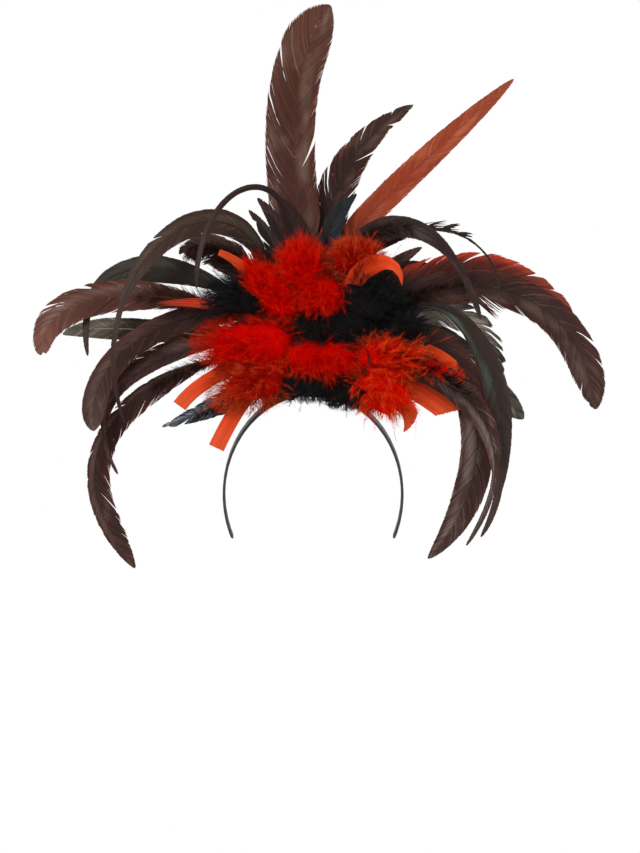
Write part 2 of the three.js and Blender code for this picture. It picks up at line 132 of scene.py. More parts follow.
def placeStrands(form, spine, side, face, half, thick, along, across, tone, mapHalf=0.0, slot=0):
    # spine, side and face are count x stations x 3; half, thick, along and across are count x stations
    k, (a, b) = form["station"], form["corner"].T
    half, thick, along, across = (np.broadcast_to(v, spine.shape[:2]) for v in (half, thick, along, across))
    mapHalf = np.broadcast_to(mapHalf, spine.shape[:2])
    places = spine[:, k] + side[:, k] * (half[:, k] * a)[..., None] + face[:, k] * (thick[:, k] * b)[..., None]
    count, size = places.shape[:2]
    triangles = form["triangles"][None] + (np.arange(count) * size)[:, None, None]
    return {
        "places": places.reshape(-1, 3),
        "triangles": triangles.reshape(-1, 3),
        "map": np.stack([along[:, k] + mapHalf[:, k] * a, across[:, k]], axis=-1).reshape(-1, 2),
        "tone": np.repeat(np.broadcast_to(tone, count), size),
        "slot": slot,
    }


def framesOf(spine, wanted):
    # side and face vectors for strands whose faces look toward wanted
    way = unit(np.gradient(spine, axis=1))
    side = unit(np.cross(wanted, way))
    return side, np.cross(way, side)


def leant(across, face, angle):
    # both turned about the strand by an angle in degrees
    turn = math.radians(angle)
    return across * math.cos(turn) + face * math.sin(turn), face * math.cos(turn) - across * math.sin(turn)


def makePiece(name, groups, materials, node, smooth=False):
    places = np.concatenate([g["places"] for g in groups]) * metre
    starts = np.cumsum([0] + [len(g["places"]) for g in groups[:-1]])
    triangles = np.concatenate([g["triangles"] + start for g, start in zip(groups, starts)])
    mesh = bpy.data.meshes.new(name)
    mesh.from_pydata(places.tolist(), [], triangles.tolist())
    corners = triangles.ravel()
    uv = np.concatenate([g["map"] for g in groups])[corners].clip(0.001, 0.999)
    mesh.uv_layers.new(name=mapName).uv.foreach_set("vector", uv.astype(np.float32).ravel())
    tone = mesh.attributes.new("tone", "FLOAT", "POINT")
    tone.data.foreach_set("value", np.concatenate([g["tone"] for g in groups]).astype(np.float32))
    slots = np.concatenate([np.full(len(g["triangles"]), g["slot"]) for g in groups])
    mesh.polygons.foreach_set("material_index", slots.astype(np.int32))
    mesh.polygons.foreach_set("use_smooth", np.full(len(slots), smooth))
    for material in materials:
        mesh.materials.append(material)
    mesh.update()
    piece = newObject(name, mesh)
    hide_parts(node)
    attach(piece, "root")


# Materials

def linear(colour):
    # a colour as seen, 0 to 255, to the numbers that shaders take
    share = np.array(colour) / 255
    values = np.where(share <= 0.04045, share / 12.92, ((share + 0.055) / 1.055) ** 2.4)
    return (*[float(v) for v in values], 1.0)


def newGroup(name, colours, values, outputs):
    tree = bpy.data.node_groups.new(name, "ShaderNodeTree")
    for socket in colours:
        tree.interface.new_socket(socket, in_out="INPUT", socket_type="NodeSocketColor")
    for socket in values:
        tree.interface.new_socket(socket, in_out="INPUT", socket_type="NodeSocketFloat")
    for socket, kind in outputs.items():
        tree.interface.new_socket(socket, in_out="OUTPUT", socket_type=kind)
    return tree, tree.nodes.new("NodeGroupInput").outputs, tree.nodes.new("NodeGroupOutput").inputs


def newNode(tree, kind, values, **settings):
    # a node with its settings, and numbers or other nodes' outputs in its sockets
    node = tree.nodes.new("ShaderNode" + kind)
    for setting, value in settings.items():
        setattr(node, setting, value)
    for socket, value in values.items():
        if isinstance(value, bpy.types.NodeSocket):
            tree.links.new(value, node.inputs[socket])
        else:
            node.inputs[socket].default_value = value
    return node.outputs


def maths(tree, operation, *values):
    return newNode(tree, "Math", dict(enumerate(values)), operation=operation)[0]


def times(tree, *values):
    product = values[0]
    for value in values[1:]:
        product = maths(tree, "MULTIPLY", product, value)
    return product


def mixed(tree, share, first, second):
    return newNode(tree, "Mix", {0: share, 6: first, 7: second}, data_type="RGBA")[2]


def shadedBy(tree, colour, shade):
    return newNode(tree, "VectorMath", {0: colour, "Scale": shade}, operation="SCALE")[0]


def ranged(tree, value, fromLow, fromHigh, toLow=0.0, toHigh=1.0, soft=False):
    values = dict(enumerate((value, fromLow, fromHigh, toLow, toHigh)))
    return newNode(tree, "MapRange", values, interpolation_type="SMOOTHSTEP" if soft else "LINEAR")[0]


def noise(tree, vector, scale, detail=2.0, roughness=0.5):
    values = {"Vector": vector, "Scale": scale, "Detail": detail, "Roughness": roughness}
    return newNode(tree, "TexNoise", values)[0]


def objectPlace(tree):
    return newNode(tree, "TexCoord", {})["Object"]


def mapPlace(tree):
    parts = newNode(tree, "SeparateXYZ", {0: newNode(tree, "UVMap", {}, uv_map=mapName)[0]})
    return parts[0], parts[1]


def toneOf(tree):
    return newNode(tree, "Attribute", {}, attribute_name="tone")["Fac"]


def bumped(tree, height, strength, distance):
    return newNode(tree, "Bump", {"Height": height, "Strength": strength, "Distance": distance})[0]


def newMaterial(name, constants):
    material = bpy.data.materials.new(name)
    material.use_nodes = True
    shader = material.node_tree.nodes["Principled BSDF"]
    for socket, value in constants.items():
        shader.inputs[socket].default_value = value
    return material, material.node_tree, shader.inputs


def useGroup(tree, group, colours, values):
    # colours go to the group's first sockets, in their order
    values = {**{i: linear(colour) for i, colour in enumerate(colours)}, **values}
    return newNode(tree, "Group", values, node_tree=group)


# How dye and painted shine lie on a vane: patches along and across it, shifted so that no two feathers are
# blotched alike; where along it the foot ends and the tip starts, and where across it the edge does; the band
# across it that carries a painted highlight, lit from its root on and dulling to its end; and the tones of
# barbs with a painted highlight
vaneLook = dict(patches=(7.0, 2.5), shift=12, foot=(0.08, 0.34), tip=(0.6, 1.0), edge=(0.25, 1.0), band=0.33,
                bandHalf=0.2, lit=(0.12, 0.36), dulling=0.3, shiny=(0.78, 1.0), barbRough=0.08)


def makeVaneDyeAndShine(look):
    # map x runs from root to tip and y from edge to edge, with the shaft at 0.5
    tree, given, made = newGroup("vaneDyeAndShine", ("Foot", "Middle", "Edge", "Tip", "Gleam"),
                                 ("Painted shine share", "Painted shine end", "Streaks", "Gloss"),
                                 {"Colour": "NodeSocketColor", "Roughness": "NodeSocketFloat"})
    (along, across), tone = mapPlace(tree), toneOf(tree)
    outward = times(tree, maths(tree, "ABSOLUTE", maths(tree, "SUBTRACT", across, 0.5)), 2.0)
    long, wide = times(tree, along, look["patches"][0]), times(tree, across, look["patches"][1])
    strokes = newNode(tree, "CombineXYZ", {0: long, 1: wide})[0]
    shifted = newNode(tree, "VectorMath", {0: objectPlace(tree), 1: [look["shift"]] * 3, 2: strokes},
                      operation="MULTIPLY_ADD")[0]
    patches = noise(tree, shifted, 1.0, 3.0)

    blotched = ranged(tree, patches, 0.35, 0.6, 0.35)
    nearEdge = times(tree, ranged(tree, outward, *look["edge"], soft=True), blotched)
    colour = mixed(tree, nearEdge, given["Middle"], given["Edge"])
    colour = mixed(tree, ranged(tree, along, *look["foot"], soft=True), given["Foot"], colour)
    colour = mixed(tree, ranged(tree, along, *look["tip"], soft=True), colour, given["Tip"])

    # painted highlight: a band across the vane, patches and single barbs are mixed toward the painted shine
    # colour, from near the root and fading past its end
    fromBand = maths(tree, "ABSOLUTE", maths(tree, "SUBTRACT", across, look["band"]))
    band = ranged(tree, fromBand, look["bandHalf"], look["bandHalf"] / 10, soft=True)
    lit = times(tree, band, ranged(tree, patches, 0.36, 0.6))
    paintedGlint = maths(tree, "MAXIMUM", ranged(tree, patches, 0.54, 0.74, 0.0, 0.6, soft=True), lit)
    barbGlintPainted = times(tree, ranged(tree, tone, *look["shiny"]), ranged(tree, patches, 0.4, 0.6, 0.0, 0.8))
    paintedGlint = maths(tree, "MAXIMUM", paintedGlint, barbGlintPainted)
    paintedGlint = times(tree, paintedGlint, given["Painted shine share"], ranged(tree, along, *look["lit"], soft=True))
    end = given["Painted shine end"]
    dull = ranged(tree, along, end, maths(tree, "ADD", end, look["dulling"]), soft=True)
    paintedGlint = times(tree, paintedGlint, maths(tree, "SUBTRACT", 1.0, dull))
    colour = mixed(tree, paintedGlint, colour, given["Gleam"])

    streak = times(tree, maths(tree, "SUBTRACT", tone, 0.5), given["Streaks"])
    tree.links.new(shadedBy(tree, colour, maths(tree, "ADD", 1.0, streak)), made["Colour"])
    rough = maths(tree, "ADD", given["Gloss"], ranged(tree, patches, 0.3, 0.7, 0.1, -0.08))
    tree.links.new(maths(tree, "ADD", rough, times(tree, tone, look["barbRough"])), made["Roughness"])
    return tree


def makeDownDyeAndShade():
    # map x grows with a strand's distance from the tuft's middle, and y is the strand's own shade
    # deep inside the colour is darker, painted shade, and at the wisps lighter, a painted glow of light through
    # thin strands
    tree, given, made = newGroup("downDyeAndShade", ("Deep painted shade", "Middle", "Wisp painted glow"), (), {"Colour": "NodeSocketColor"})
    along, shade = mapPlace(tree)
    colour = mixed(tree, ranged(tree, along, 0.1, 0.55, soft=True), given["Deep painted shade"], given["Middle"])
    colour = mixed(tree, ranged(tree, along, 0.55, 1.0, soft=True), colour, given["Wisp painted glow"])
    tree.links.new(shadedBy(tree, colour, ranged(tree, shade, 0.15, 0.85, 0.75, 1.22)), made["Colour"])
    return tree


vaneDyeAndShine, downDyeAndShade = makeVaneDyeAndShine(vaneLook), makeDownDyeAndShade()

# Dyes and painted shine, as the photo shows them. dye is the colour at the foot, in the middle, along the edges
# and at the tip; gleam is the colour of a painted sheen, gleamShare its strength and paintedShineEnd where it
# fades; streaks tell barbs apart.
vaneFinishes = tabled("dye gleam gleamShare streaks gloss shaft slot", {
    "dark": (((34, 22, 19), (46, 24, 20), (76, 33, 26), (60, 38, 33)), (112, 88, 78), 0.4, 0.6, 0.42,
        (40, 25, 21), "feather_dark"),
    "sheeny": (((62, 38, 34), (50, 31, 28), (74, 36, 30), (66, 46, 42)), (134, 116, 108), 0.52, 0.6, 0.3,
        (40, 26, 23), "feather_dark"),
    "shadow": (((28, 19, 17), (36, 22, 20), (52, 28, 24), (50, 34, 31)), (86, 66, 58), 0.25, 0.6, 0.52,
        (42, 28, 25), "feather_dark"),
    "olive": (((36, 25, 22), (54, 36, 29), (66, 44, 35), (46, 27, 24)), (108, 94, 72), 0.6, 0.5, 0.44,
        (50, 34, 28), "feather_dark", dict(paintedShineEnd=0.36)),
    "rust": (((70, 50, 44), (64, 29, 18), (82, 38, 26), (88, 52, 40)), (120, 96, 82), 0.55, 0.5, 0.4,
        (76, 42, 34), "feather_rust"),
    "dusk": (((70, 50, 44), (72, 40, 32), (90, 47, 38), (108, 68, 58)), (126, 100, 88), 0.5, 0.5, 0.42,
        (92, 56, 46), "feather_rust"),
    "ember": (((44, 26, 22), (92, 40, 30), (226, 66, 38), (128, 60, 46)), (146, 84, 66), 0.5, 0.5, 0.36,
        (72, 40, 32), "feather_rust"),
    "bright": (((150, 60, 34), (142, 54, 28), (164, 74, 46), (142, 64, 42)), (190, 108, 76), 0.5, 0.35, 0.45,
        (126, 54, 34), "feather_bright"),
    "green": (((38, 27, 24), (46, 34, 30), (54, 38, 32), (62, 42, 38)), (80, 112, 96), 0.7, 0.5, 0.28,
        (48, 38, 32), "feather_green", dict(paintedShineEnd=0.34)),
    "moss": (((36, 26, 23), (40, 33, 27), (48, 39, 31), (56, 38, 33)), (66, 68, 52), 0.6, 0.5, 0.3,
        (44, 34, 28), "feather_green"),
    "grey": (((60, 48, 42), (76, 62, 51), (58, 48, 40), (92, 86, 76)), (140, 128, 108), 0.6, 0.8, 0.32,
        (206, 196, 180), "feather_grey"),
    "frost": (((70, 56, 48), (148, 136, 120), (46, 41, 38), (58, 55, 50)), (200, 190, 172), 0.6, 1.3, 0.3,
        (96, 82, 76), "feather_grey"),
    "black": (((24, 22, 24), (26, 24, 26), (30, 28, 30), (30, 38, 42)), (46, 56, 62), 0.3, 0.5, 0.4,
        (30, 28, 30), "feather_black"),
    # raven's tip colour is lighter and bluer than its middle: a painted highlight on the tips
    "raven": (((22, 21, 23), (38, 40, 44), (28, 28, 31), (74, 80, 86)), (142, 150, 158), 0.8, 1.4, 0.34,
        (60, 62, 66), "feather_black"),
    "strip": (((200, 44, 8), (208, 56, 14), (210, 66, 24), (204, 74, 34)), (222, 90, 44), 0.3, 0.2, 0.55,
        (204, 56, 22), "strip"),
    "ragged": (((170, 40, 20), (206, 58, 30), (176, 52, 32), (150, 52, 38)), (238, 84, 44), 0.5, 0.7, 0.5,
        (180, 50, 30), "strip"),
})


def makeVaneMaterial(name, finish):
    material, tree, shader = newMaterial(name + "Vane", {"Specular IOR Level": 0.14})
    values = {"Painted shine share": finish["gleamShare"], "Painted shine end": finish.get("paintedShineEnd", 1.2),
              "Streaks": finish["streaks"], "Gloss": finish["gloss"]}
    dyed = useGroup(tree, vaneDyeAndShine, [*finish["dye"], finish["gleam"]], values)
    tree.links.new(dyed["Colour"], shader["Base Color"])
    tree.links.new(dyed["Roughness"], shader["Roughness"])
    return material


def makeShaftMaterial(name, finish):
    material, tree, shader = newMaterial(name + "Shaft", {"Specular IOR Level": 0.12})
    along, _ = mapPlace(tree)
    grain = noise(tree, objectPlace(tree), 900.0)
    pale, deep = linear(finish["shaft"]), linear([0.6 * c for c in finish["shaft"]])
    colour = mixed(tree, times(tree, grain, ranged(tree, along, 0.5, 1.0)), pale, deep)
    colour = mixed(tree, ranged(tree, along, 0.1, 0.4, soft=True), linear(finish["dye"][0]), colour)
    tree.links.new(colour, shader["Base Color"])
    tree.links.new(ranged(tree, grain, 0.0, 1.0, 0.45, 0.65), shader["Roughness"])
    return material


# Down's dye: its colour deep inside, painted shade, in the middle, and at the wisps, a painted glow.
downFinishes = tabled("dye shine slot", {
    "redDown": (((214, 2, 0), (232, 8, 2), (236, 44, 14)), 0.02, "down_red"),
    "amberDown": (((172, 8, 4), (202, 34, 12), (226, 80, 38)), 0.02, "down_red"),
    "flameDown": (((228, 8, 0), (252, 42, 8), (250, 92, 38)), 0.02, "down_red"),
    "blackDown": (((17, 16, 17), (27, 25, 26), (38, 38, 41)), 0.15, "down_black"),
})


def makeDownMaterial(name, finish):
    material, tree, shader = newMaterial(name, {"Roughness": 0.9, "Specular IOR Level": finish["shine"]})
    tree.links.new(useGroup(tree, downDyeAndShade, finish["dye"], {})["Colour"], shader["Base Color"])
    return material


vaneMaterials = {name: makeVaneMaterial(name, finish) for name, finish in vaneFinishes.items()}
shaftMaterials = {name: makeShaftMaterial(name, finish) for name, finish in vaneFinishes.items()}
downMaterials = {name: makeDownMaterial(name, finish) for name, finish in downFinishes.items()}
print("materials")


# The band: a sprung band wrapped in satin ribbon, its ends behind the ears; step is how proud each lap stands
headband = dict(halfWidth=70, height=86, reach=115, lean=20, thickness=2.4, crownWidth=14, endWidth=8,
                square=0.42, rounded=0.015, rings=220, sides=20, wrap=9.5, slant=0.6, step=0.16)
satin = dict(cloth=(26, 25, 29), fold=(10, 10, 12), paintedSheen=(44, 43, 48), wraps=34.0, slant=0.7, seam=0.12,
             cloud=160.0, weave=1400.0)


def solidGroup(places, triangles, uv, tone=0.0):
    return {"places": places, "triangles": triangles, "map": uv, "tone": np.full(len(places), tone), "slot": 0}


def bandPoint(angle, outward, lean):
    x = (headband["halfWidth"] + outward) * np.sin(np.radians(angle))
    up = (headband["height"] + outward) * np.cos(np.radians(angle)) - headband["height"]
    return np.stack([x, -up * math.sin(lean), up * math.cos(lean)], axis=-1)


def makeSatin():
    material, tree, shader = newMaterial("satin", {"Specular IOR Level": 0.6, "Anisotropic": 0.4,
                                                   "Sheen Weight": 0.15})
    (along, across), place = mapPlace(tree), objectPlace(tree)
    turns = maths(tree, "ADD", times(tree, along, satin["wraps"]), times(tree, across, satin["slant"]))
    seam = ranged(tree, maths(tree, "FRACT", turns), 0.0, satin["seam"], 1.0, 0.0)
    fine = noise(tree, place, satin["cloud"], 3.0)
    colour = mixed(tree, seam, linear(satin["cloth"]), linear(satin["fold"]))
    # lighter cloudy patches: a painted sheen on the satin
    colour = mixed(tree, ranged(tree, fine, 0.5, 0.8), colour, linear(satin["paintedSheen"]))
    tree.links.new(colour, shader["Base Color"])
    tree.links.new(ranged(tree, fine, 0.3, 0.7, 0.22, 0.38), shader["Roughness"])
    tree.links.new(bumped(tree, noise(tree, place, satin["weave"]), 0.15, 0.0002), shader["Normal"])
    return material


def makeBand():
    band, lean = headband, math.radians(headband["lean"])
    form = strandForm(band["sides"], band["rings"], pointed=False)
    share = form["station"] / band["rings"]
    side = 2 * share - 1
    a, b = (np.sign(c) * np.abs(c) ** band["square"] for c in form["corner"].T)
    half = (band["crownWidth"] + (band["endWidth"] - band["crownWidth"]) * np.abs(side) ** 1.5) / 2
    ends = np.sqrt(1 - 0.75 * np.clip((np.abs(side) - 1) / band["rounded"] + 1, 0, 1) ** 2)
    length = math.radians(2 * band["reach"]) * (band["halfWidth"] + band["height"]) / 2
    lap = (share * length + a * half * band["slant"]) / band["wrap"] % 1
    outward = band["thickness"] / 2 * (1 + b * ends) - band["step"] * lap * b
    places = bandPoint(side * band["reach"], outward, lean)
    places += np.array([0, math.cos(lean), math.sin(lean)]) * (a * half * ends)[:, None]
    group = solidGroup(places, form["triangles"], np.stack([share, 0.5 + 0.5 * a], axis=-1))
    makePiece("band_satin", [group], [makeSatin()], "headband", smooth=True)


makeBand()
print("band")

# The base: a felt-covered pad, softened along its edges, with short fibres standing on it
feltBase = dict(bevel=1.6, segments=3, fibres=2600, fibre=1.3, fibreHalf=0.06, standing=0.45, tangled=0.6)
felt = dict(deep=(16, 15, 17), light=(34, 33, 36), cloud=(26, 24, 25), tangles=1500.0, clouds=90.0)


def makeFelt():
    material, tree, shader = newMaterial("felt", {"Roughness": 0.95, "Specular IOR Level": 0.1})
    place = objectPlace(tree)
    tangle, cloud = noise(tree, place, felt["tangles"], 4.0, 0.7), noise(tree, place, felt["clouds"])
    colour = mixed(tree, ranged(tree, tangle, 0.4, 0.7), linear(felt["deep"]), linear(felt["light"]))
    colour = mixed(tree, ranged(tree, cloud, 0.5, 0.75, 0.0, 0.5), colour, linear(felt["cloud"]))
    tree.links.new(colour, shader["Base Color"])
    tree.links.new(bumped(tree, tangle, 0.6, 0.0006), shader["Normal"])
    return material


def makeBase():
    base, count = feltBase, feltBase["fibres"]
    bm = bmesh.new()
    bm.from_mesh(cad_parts["feather_base"].data)
    bmesh.ops.remove_doubles(bm, verts=bm.verts[:], dist=1e-5)
    bmesh.ops.dissolve_limit(bm, angle_limit=0.02, verts=bm.verts[:], edges=bm.edges[:])
    rims = [e for e in bm.edges if len(e.link_faces) == 2 and e.calc_face_angle() > 1.0]
    bmesh.ops.bevel(bm, geom=rims, offset=base["bevel"] * metre, segments=base["segments"], affect="EDGES",
                    profile=0.5, material=-1, clamp_overlap=True)
    bmesh.ops.triangulate(bm, faces=bm.faces[:])
    places, triangles = takenFrom(bm)
    places = places / metre
    triangles = inOrder(places, triangles)
    low, high = places.min(0), places.max(0)
    pad = solidGroup(places, triangles, ((places - low) / (high - low))[:, [0, 2]])

    rng = np.random.default_rng(11)
    corners = places[triangles]
    facing = np.cross(corners[:, 1] - corners[:, 0], corners[:, 2] - corners[:, 0])
    area = np.linalg.norm(facing, axis=1)
    chosen = rng.choice(len(triangles), count, p=area / area.sum())
    spread = np.sort(rng.random((count, 2)), axis=1)
    weights = np.stack([spread[:, 0], spread[:, 1] - spread[:, 0], 1 - spread[:, 1]], axis=1)
    root = np.einsum("ij,ijk->ik", weights, corners[chosen])
    lying = unit(unit(facing[chosen]) * base["standing"] + rng.normal(0, base["tangled"], root.shape))
    q = np.array([0, 0.5, 1.0])
    spine = root[:, None] + lying[:, None] * (q * base["fibre"])[:, None] * rng.uniform(0.4, 1, (count, 1, 1))
    side, face = framesOf(spine, np.array([0.2, 0.3, 0.9]))
    shown = (root - low) / (high - low)
    fibres = placeStrands(strandForm(3, 2), spine, side, face, base["fibreHalf"], base["fibreHalf"],
                          shown[:, :1] + 0 * q, shown[:, 2:] + 0 * q, 0.5, 0.001)
    makePiece("base_felt", [pad, fibres], [makeFelt()], "feather_base")


makeBase()
print("base")

# Tail feathers. A quill leaves the rim of the base at seat (angle, y of its lane), sets off by leave (angle,
# pull) and comes to tip (x, z) by arrive (angle, push); depth is y near the root, near the tip and at the tip.
# The vane has its share lead at side -1, on the right of an upright feather, and the rest at side 1. full and
# fade are the shares of the length where it is widest and where it narrows, blunt how round its end is, thin
# and tail a sickle's thin end, turn its twist in degrees, and fork how far its tip parts.
# split is how much the barbs part, slits (side, place, opening) are gaps, spurs (side, place, longer, spread)
# barbs that stand out, and worn is how much shorter most others are. fluff is the share of the length with down
# at its foot; fluffs, fluffLong and fluffHalf are how many strands, how long and how thick; hang (side, times)
# makes one side's longer, and forward brings them to the front.
feathers = tabled("finish seat leave tip arrive depth width full fade blunt split", {
    "tall_rust_left": ("rust", (103, 4), (85, 60), (14, 311), (56, 95), (16, 26, 30), 40, 0.3, 0.82, 2.4, 0.12,
        dict(lead=0.42, slits=((1, 0.84, 7), (1, 0.7, 4), (-1, 0.55, 8)))),
    "spur_high": ("shadow", (112, 1), (90, 30), (-45, 156), (135, 30), (7, 10, 13), 16, 0.4, 0.4, 1.6, 0.6),
    "sickle_high": ("shadow", (118, -4), (80, 130), (-90, 80), (-90, 100), (-7, -42, -52), 28, 0.2, 0.22, 1,
        0.1, dict(lead=0.6, turn=20, thin=0.42, tail=0.17)),
    "spur_mid": ("shadow", (124, 4), (95, 32), (-52, 147), (135, 30), (14, 20, 24), 14, 0.4, 0.4, 1.6, 0.7),
    "spur_low": ("shadow", (130, 1), (105, 32), (-73, 147), (150, 32), (8, 13, 18), 14, 0.4, 0.4, 1.6, 0.7),
    "arc_left": ("olive", (136, -4), (95, 148), (-145, -24), (-70, 140), (-3, -44, -58), 20, 0.3, 0.4, 1, 0.08,
        dict(turn=20, thin=0.72, tail=0.22, slits=((-1, 0.5, 7),))),
    "gloss_left": ("dark", (144, 3), (100, 35), (-108, 111), (-145, 40), (19, 26, 28), 27, 0.26, 0.65, 2.4, 0.9,
        dict(lead=0.42, fluff=0.9, fluffLong=1.3, fluffs=20, hang=(1, 1.7))),
    "green_left": ("moss", (150, -2), (120, 45), (-177, 29), (-80, 114), (6, 6, -12), 22, 0.5, 0.55, 1, 0.06,
        dict(turn=15, thin=0.85, tail=0.25)),
    "rust_left": ("dusk", (163, 2), (140, 70), (-210, 30), (-80, 60), (3, -12, -36), 26, 0.6, 0.8, 1.6, 0.45,
        dict(turn=-10, fork=5, fluff=0.5, fluffLong=1.7, slits=((-1, 0.72, 8), (-1, 0.85, 6)))),
    "broad_left": ("dark", (156, -2), (110, 35), (-171, -30), (-80, 85), (11, 4, -26), 20, 0.25, 0.8, 4, 0.06),
    "grey_left": ("grey", (170, 3), (175, 20), (-202, 48), (-155, 30), (24, 38, 48), 18, 0.25, 0.75, 1.6, 0.15),
    "dark_left": ("dark", (178, -2), (130, 20), (-153, -64), (-60, 105), (11, 8, -10), 18, 0.42, 0.5, 1, 0.4,
        dict(lead=0.7, turn=10, thin=0.85, tail=0.2)),
    "long_left": ("dark", (187, 2), (150, 25), (-140, -138), (-50, 165), (16, 14, -6), 18, 0.4, 0.8, 2, 0.8,
        dict(lead=0.34, fluff=0.35)),
    "black_left": ("raven", (205, 3), (195, 15), (-121, -27), (-160, 110), (20, 20, 12), 24, 0.24, 0.25, 1, 1.2,
        dict(fluff=0.7, fluffs=14)),
    "dark_up": ("dark", (89, 4), (75, 40), (81, 234), (30, 96), (24, 40, 52), 30, 0.35, 0.55, 1.1, 0.55,
        dict(fluff=0.3, slits=((-1, 0.9, 8),))),
    "black_up": ("black", (82, 0), (75, 28), (35, 159), (38, 42), (10, 14, 14), 18, 0.4, 0.5, 1.6, 0.5,
        dict(fluff=0.5, fluffLong=1.3)),
    "rust_up": ("bright", (74, 4), (82, 40), (163, 256), (42, 230), (18, 50, 64), 21, 0.3, 0.45, 2.2, 0.15,
        dict(slits=((1, 0.22, 8), (1, 0.12, 6)))),
    "arch_right": ("shadow", (63, -4), (92, 67), (130, 56), (-75, 115), (-7, -38, -50), 20, 0.3, 0.4, 1, 0.08,
        dict(turn=-15, thin=0.8, tail=0.3, fluff=0.5, hang=(-1, 1.6))),
    "thin_right": ("shadow", (56, 1), (85, 85), (145, 68), (-95, 80), (0, -22, -38), 12, 0.3, 0.45, 1, 0.7,
        dict(turn=-10, thin=0.8, tail=0.35, worn=0.62,
        spurs=((1, 0.51, 4, 1.6), (1, 0.56, 6, 1.7), (1, 0.62, 7, 1.7), (1, 0.68, 5, 1.6)),
        slits=((1, 0.42, 12), (1, 0.5, 12)))),
    "spur_right": ("dark", (49, 4), (55, 25), (88, 118), (25, 25), (25, 34, 40), 15, 0.4, 0.4, 1.6, 0.2),
    "edge_right": ("dark", (43, 1), (60, 42), (107, 98), (-10, 42), (14, 18, 22), 16, 0.4, 0.4, 1.4, 0.2),
    "red_right": ("ember", (36, 4), (55, 30), (205, 64), (-45, 100), (11, 15, 2), 25, 0.2, 0.6, 1.2, 0.6,
        dict(turn=10, slits=((1, 0.6, 8), (1, 0.82, 9), (1, 0.9, 9)))),
    "big_right": ("dark", (29, 1), (45, 60), (220, -13), (-85, 125), (7, -6, -34), 27, 0.2, 0.8, 2.5, 0.35,
        dict(spurs=((-1, 0.47, 9, 3.5),), fluff=0.36, hang=(-1, 1.5),
        slits=((-1, 0.45, 10), (1, 0.82, 8), (1, 0.88, 6)))),
    "split_right": ("frost", (22, 4), (32, 50), (150, 17), (-78, 60), (19, 24, 16), 24, 0.3, 0.6, 1.4, 0.9,
        dict(slits=((1, 0.7, 12), (1, 0.8, 12), (1, 0.9, 10)))),
    "green_right": ("green", (16, -3), (45, 128), (131, -113), (-125, 78), (3, -8, -22), 20, 0.55, 0.6, 1, 0.08,
        dict(turn=-10, thin=0.9, tail=0.3)),
    "grey_right": ("grey", (9, 3), (30, 75), (170, -20), (-40, 40), (26, 40, 44), 17, 0.3, 0.85, 2.5, 0.2),
    "broad_right": ("sheeny", (3, -3), (30, 85), (90, -130), (-135, 110), (-2, -8, -16), 26, 0.2, 0.7, 1.6,
        0.06),
    "curl_right": ("sheeny", (-8, -4), (0, 60), (119, -119), (-125, 108), (-26, -26, -38), 22, 0.2, 0.4, 1, 0.1,
        dict(turn=-15, thin=0.75, tail=0.2, fluff=0.4, fluffLong=1.3, fluffs=3, fluffHalf=0.34, forward=26)),
})
feather = dict(spacing=1.15, steep=2.1, bow=1.4, quill=1.2, shaft=1.0, cup=0.3, lapped=1.95, tilt=9, thick=0.1,
               clump=(5, 26), drawn=0.6, slitReach=14, barbHalf=(0.14, 0.95), footHalf=0.36)
fluff = dict(share=0.17, least=80, number=9, length=15, half=0.21, opening=42, spread=14, sweep=0.35, stray=0.6)
footing = dict(x=2, z=34, halfWidth=42, rise=40, thickness=12, gap=0.3)  # the base that quills leave


def rimRoot(row):
    # where a quill starts, just clear of the rim of the base
    (seat, lane), wide = row["seat"], footing["halfWidth"]
    run, rise = math.cos(math.radians(seat)), math.sin(math.radians(seat))
    if rise > 0:
        outward, rim = np.array([run, 0, rise]), np.array([wide * run, lane, footing["rise"] * rise])
    else:
        sign = math.copysign(1, run)
        outward, rim = np.array([sign, 0, 0]), np.array([wide * sign, lane, wide * rise / abs(run)])
    leaving = flatWay(row["leave"][0]) * row["leave"][1]
    leaving[1] = row["depth"][0] - lane
    clear = footing["gap"] + feather["quill"] * np.linalg.norm(np.cross(outward, unit(leaving)))
    return rim + [footing["x"], 0, footing["z"]] + outward * clear


def routeOf(root, row, stations=401):
    # the shaft's line, evenly spaced along its length, with the ways along it, across the vane and to its front
    (leave, pull), (arrive, push), (x, z) = row["leave"], row["arrive"], row["tip"]
    tip = np.array([x, row["depth"][2], z])
    near, far = root + flatWay(leave) * pull, tip - flatWay(arrive) * push
    near[1], far[1] = row["depth"][:2]

    def at(u):
        u = u[:, None]
        return (1 - u) ** 3 * root + 3 * u * (1 - u) ** 2 * near + 3 * u * u * (1 - u) * far + u ** 3 * tip

    fine = np.linspace(0, 1, 2001)
    run = np.concatenate([[0], np.cumsum(np.linalg.norm(np.diff(at(fine), axis=0), axis=1))])
    middle = at(np.interp(np.linspace(0, run[-1], stations), run, fine))
    along = unit(np.gradient(middle, axis=0))
    across = unit(np.cross(along, [0, 1, 0]))
    turn = np.radians(np.linspace(0, row.get("turn", 0), stations))[:, None]
    across = across * np.cos(turn) + np.cross(along, across) * np.sin(turn)
    return {"length": run[-1], "middle": middle, "across": across, "front": np.cross(along, across)}


def onRoute(route, name, t):
    # linear between stations, for any shape of t
    table = route[name]
    place = np.clip(t, 0, 1) * (len(table) - 1)
    low = np.minimum(place.astype(int), len(table) - 2)
    return table[low] + (table[low + 1] - table[low]) * (place - low)[..., None]


def onVane(route, row, t, out, lift):
    cup = feather["cup"] * out * out / row["width"]
    return (onRoute(route, "middle", t) + onRoute(route, "across", t) * out[..., None]
            + onRoute(route, "front", t) * (lift - cup)[..., None])


def vaneShape(row, t):
    # half the vane as a share of its greatest half width
    past = np.clip((t - row["fade"]) / (row.get("thin", 1) - row["fade"]), 0, 1)
    closing = np.sqrt(1 - np.clip(6 * t - 5, 0, 1) ** 2)
    narrowing = (1 - past ** row["blunt"]) ** 0.7
    return easeIn(t, 0.04, row["full"]) * np.maximum(narrowing, row.get("tail", 0) * closing)


